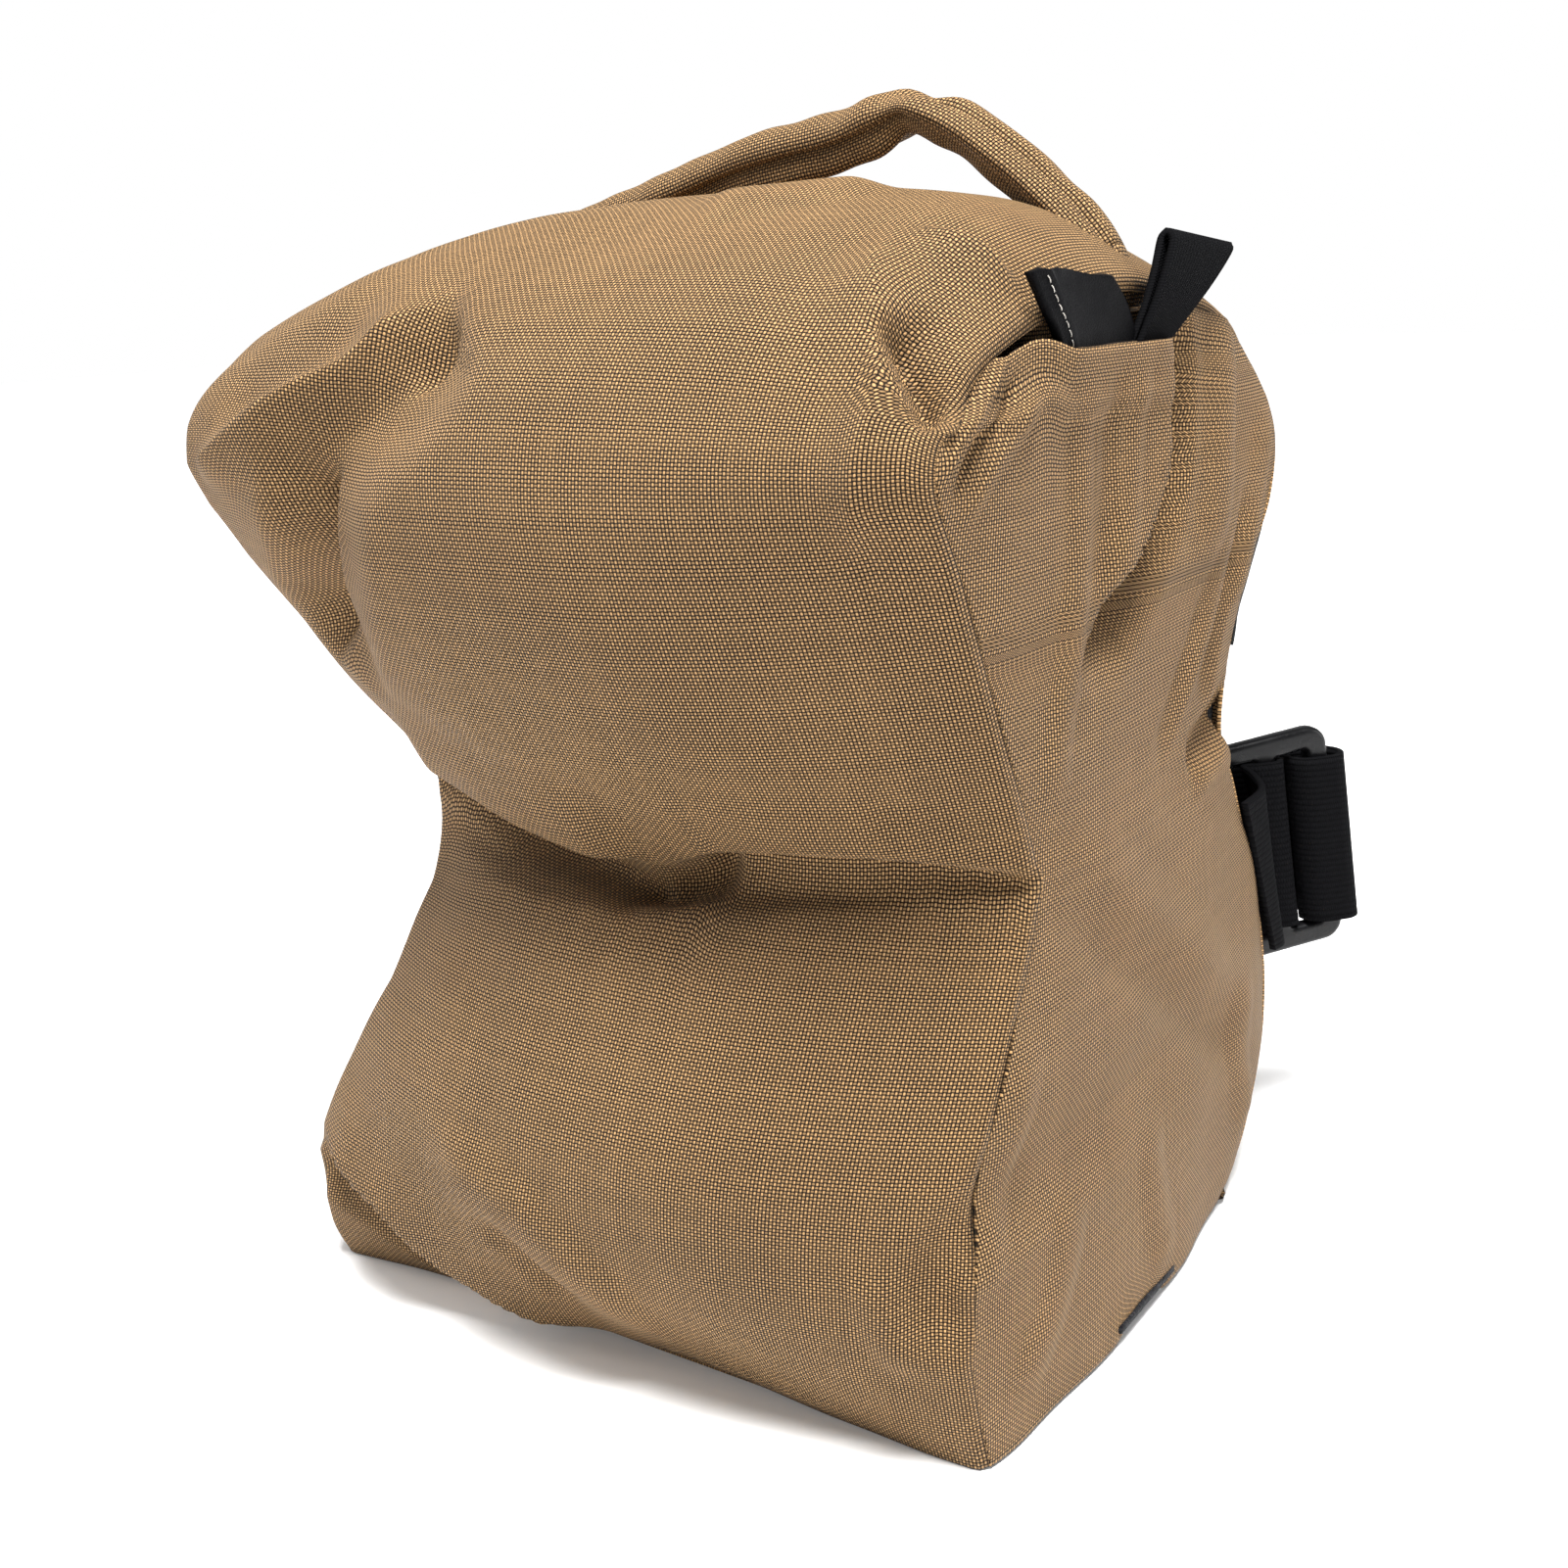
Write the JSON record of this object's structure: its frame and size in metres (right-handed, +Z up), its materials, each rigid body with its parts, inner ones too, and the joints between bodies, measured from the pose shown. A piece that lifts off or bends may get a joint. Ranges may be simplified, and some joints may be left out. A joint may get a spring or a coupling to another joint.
{
  "type": "sandbag",
  "caption": "Sand-filled hourglass support bag in woven fabric, with a fabric carry handle over its domed top, an adjustable webbing strap behind and a hook-and-loop fill mouth in its base.",
  "frame": {"origin": "on the plane that the bag stands on, below the middle of the bag", "axes": "+X along the bag's length to its right end, +Z up, the front faces -Y"},
  "size_m": [0.1625, 0.1831, 0.2205],
  "materials": {
    "shell_fabric": "coarse plain-weave polyester oxford, khaki, slight sheen",
    "binding_tape": "thin woven tape",
    "loop_pile": "fuzzy loop pile",
    "hook_tape": "stiff hook tape",
    "liner_film": "translucent film",
    "tie_plastic": "moulded nylon",
    "sand": "dry sand",
    "khaki_thread": "twisted thread",
    "core_webbing": "rolled webbing",
    "leatherette": "smooth black leatherette, satin",
    "black_webbing": "ribbed webbing, matt",
    "patch_fabric": "fine plain weave, blank",
    "black_plastic": "moulded, satin"
  },
  "bodies": {
    "bag": {"body_wrap": "shell_fabric", "end_panel_right": "shell_fabric", "end_panel_left": "shell_fabric", "throat_panel": "shell_fabric", "throat_hem": "shell_fabric", "seam_binding_right": "binding_tape", "seam_binding_left": "binding_tape", "base_front": "shell_fabric", "base_back": "shell_fabric", "mouth_loop_strip": "loop_pile", "liner_bag": "liner_film", "liner_tie": "tie_plastic", "sand_fill": "sand", "handle_root_right": "shell_fabric", "handle_root_left": "shell_fabric", "handle_bartacks": "khaki_thread", "back_loop_panel": "loop_pile", "hand_strap": "black_webbing", "strap_root": "black_webbing"},
    "handle": {"handle_sleeve": "shell_fabric", "handle_core": "core_webbing"},
    "label": {"label_tab": "leatherette"},
    "loop": {"pull_loop": "black_webbing"},
    "patch": {"patch_cover": "patch_fabric"},
    "strap_end": {"slider": "black_plastic", "strap_bight": "black_webbing"},
    "flap": {"mouth_flap": "shell_fabric", "mouth_hook_strip": "hook_tape"}
  },
  "joints": [
    {"name": "handle_swing", "type": "hinge", "parent": "bag", "child": "handle", "pos_m": [0, 0.006, 0.182], "axis": [1, 0, 0], "range_deg": [-45, 30], "stiffness_Nm_per_rad": 0.06},
    {"name": "label_flex", "type": "hinge", "parent": "bag", "child": "label", "pos_m": [0.0754, -0.0225, 0.1788], "axis": [0, 1, 0], "range_deg": [0, 60], "stiffness_Nm_per_rad": 0.004},
    {"name": "loop_flex", "type": "hinge", "parent": "bag", "child": "loop", "pos_m": [0.0757, 0.011, 0.1788], "axis": [0, 1, 0], "range_deg": [0, 60], "stiffness_Nm_per_rad": 0.006},
    {"name": "patch_pull", "type": "slide", "parent": "bag", "child": "patch", "axis": [0, 1, 0], "range_m": [0, 0.03]},
    {"name": "strap_adjust", "type": "slide", "parent": "bag", "child": "strap_end", "axis": [0.6691, 0.7431, 0], "range_m": [0, 0.015]},
    {"name": "mouth_open", "type": "hinge", "parent": "bag", "child": "flap", "pos_m": [0, -0.0142, 0], "axis": [1, 0, 0], "range_deg": [-100, 0]}
  ]
}
